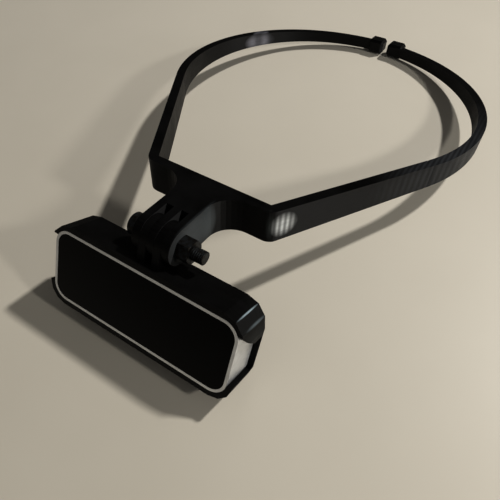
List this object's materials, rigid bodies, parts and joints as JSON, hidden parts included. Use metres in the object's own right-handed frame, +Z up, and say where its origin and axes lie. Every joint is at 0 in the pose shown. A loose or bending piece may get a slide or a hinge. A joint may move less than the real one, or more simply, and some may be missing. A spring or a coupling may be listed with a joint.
{
  "type": "head visor magnifier",
  "caption": "Head-worn visor: an open loop head band with sprung rear arms, a bolted tilt hinge, and a cradle that holds a slim dark-windowed optical bar.",
  "frame": {"origin": "on the bench, under the middle of the bounding box, with the visor set down on its cradle and its rear ends", "axes": "+Z up from the bench, -Y towards the front (the optical bar), +X towards the nut side of the hinge; the tilt bolt lies along X"},
  "size_m": [0.152, 0.234, 0.0471],
  "materials": {
    "printed_plastic": "satin printed plastic with fine layer lines",
    "dark_steel": "black oxide",
    "silver_metal": "satin, bead blasted",
    "black_window": "polished, nearly opaque",
    "black_foam": "matt foam",
    "moulded_plastic": "fine moulded texture",
    "lens_glass": "polished",
    "lamp_resin": "clear resin",
    "board": "solder mask",
    "chip_resin": "matt",
    "plated_steel": "nickel plated",
    "pad_rubber": "matt"
  },
  "bodies": {
    "band": {"front_frame": "printed_plastic", "tilt_nut": "dark_steel"},
    "left_arm": {"rear_arm_left": "printed_plastic"},
    "right_arm": {"rear_arm_right": "printed_plastic"},
    "bolt": {"tilt_bolt": "dark_steel"},
    "cradle": {"cradle": "printed_plastic"},
    "bar": {"bezel_ring": "silver_metal", "front_window": "black_window", "window_gasket": "black_foam", "light_baffle": "moulded_plastic", "lens_carrier": "silver_metal", "lens_barrel_left": "moulded_plastic", "lens_barrel_right": "moulded_plastic", "lens_left": "lens_glass", "lens_right": "lens_glass", "lamps": "lamp_resin", "circuit_board": "board", "board_chips": "chip_resin", "cable_socket": "plated_steel", "board_screws": "plated_steel", "rear_cover": "moulded_plastic", "case_screws": "dark_steel", "rear_pad": "pad_rubber"}
  },
  "joints": [
    {"name": "cradle_tilt", "type": "hinge", "parent": "band", "child": "cradle", "pos_m": [0, -0.08753, 0.03999], "axis": [1, 0, 0], "range_deg": [-105, 25]},
    {"name": "bolt_turn", "type": "hinge", "parent": "band", "child": "bolt", "pos_m": [0, -0.08753, 0.03999], "axis": [1, 0, 0], "continuous": true},
    {"name": "left_arm_flex", "type": "hinge", "parent": "band", "child": "left_arm", "pos_m": [-0.06383, 0.00139, 0.02397], "axis": [0, 0.1772, 0.9842], "range_deg": [0, 10]},
    {"name": "right_arm_flex", "type": "hinge", "parent": "band", "child": "right_arm", "pos_m": [0.06383, 0.00139, 0.02397], "axis": [0, 0.1772, 0.9842], "range_deg": [-10, 0]},
    {"name": "bar_release", "type": "slide", "parent": "cradle", "child": "bar", "axis": [0, -0.866, 0.5001], "range_m": [0, 0.02]}
  ],
  "couplings": [
    {"joint": "right_arm_flex", "follows": "left_arm_flex", "ratio": -1}
  ]
}
